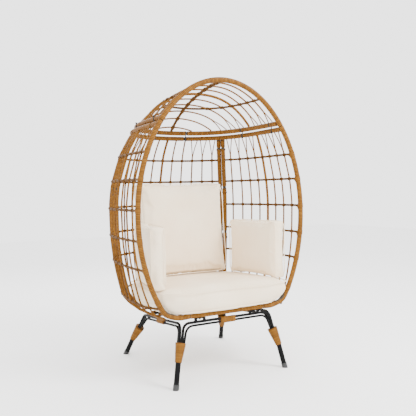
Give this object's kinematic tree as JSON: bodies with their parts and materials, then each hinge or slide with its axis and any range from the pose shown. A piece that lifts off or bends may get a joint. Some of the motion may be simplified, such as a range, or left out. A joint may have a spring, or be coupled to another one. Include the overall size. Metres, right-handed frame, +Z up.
{
  "type": "egg chair",
  "caption": "Free-standing egg-shaped garden chair: open wicker-wrapped basket with hood, black steel base on splayed legs, seat, back and side cushions.",
  "frame": {"origin": "on the ground, at the centre of the chair's footprint box", "axes": "+Z up, +Y towards the back of the chair, +X to the right of someone facing the chair from the front"},
  "size_m": [0.9118, 0.8588, 1.4206],
  "materials": {
    "wicker": "honey-brown resin wicker wound round steel, satin",
    "dark_wicker": "the same wicker, darker where it is knotted, satin",
    "bare_steel": "dark primer, hidden inside the wicker",
    "black_steel": "satin black powder coat",
    "black_fasteners": "black oxide",
    "foot_plastic": "fine matt",
    "canvas": "cream woven outdoor canvas over soft filling"
  },
  "bodies": {
    "root": {"back_cushion": "canvas", "back_panel_frame_tube": "bare_steel", "back_panel_left_wrap": "wicker", "back_panel_right_wrap": "wicker", "back_panel_rings": "dark_wicker", "back_panel_rods": "wicker", "back_panel_spine": "wicker", "back_panel_top_wrap": "wicker", "base_bolts": "black_fasteners", "base_brackets": "black_steel", "base_front_bows": "black_steel", "base_left_bows": "black_steel", "base_nuts": "black_fasteners", "base_rear_bows": "black_steel", "base_right_bows": "black_steel", "foot_caps": "foot_plastic", "front_left_collar": "wicker", "front_left_foot_tube": "black_steel", "front_right_collar": "wicker", "front_right_foot_tube": "black_steel", "hood_arches": "wicker", "hood_frame_tube": "bare_steel", "hood_rim_wrap": "wicker", "hood_ring": "dark_wicker", "hood_seam_wrap": "wicker", "hood_spine": "dark_wicker", "joint_spigots": "bare_steel", "left_panel_frame_tube": "bare_steel", "left_panel_rear_wrap": "wicker", "left_panel_rings": "dark_wicker", "left_panel_rods": "wicker", "left_panel_thick_rod": "wicker", "left_panel_top_wrap": "wicker", "left_pillow": "canvas", "left_rim_wrap": "wicker", "rail_wraps": "wicker", "rear_left_collar": "wicker", "rear_left_foot_tube": "black_steel", "rear_right_collar": "wicker", "rear_right_foot_tube": "black_steel", "right_panel_frame_tube": "bare_steel", "right_panel_rear_wrap": "wicker", "right_panel_rings": "dark_wicker", "right_panel_rods": "wicker", "right_panel_thick_rod": "wicker", "right_panel_top_wrap": "wicker", "right_pillow": "canvas", "right_rim_wrap": "wicker", "seam_bolts": "black_fasteners", "seam_nuts": "black_fasteners", "seat_cross_rods": "wicker", "seat_cushion": "canvas", "seat_edge_ring": "wicker", "seat_front_tube": "bare_steel", "seat_front_wrap": "wicker", "seat_rear_tube": "bare_steel", "seat_rear_wrap": "wicker", "seat_slats": "wicker"}
  },
  "joints": []
}
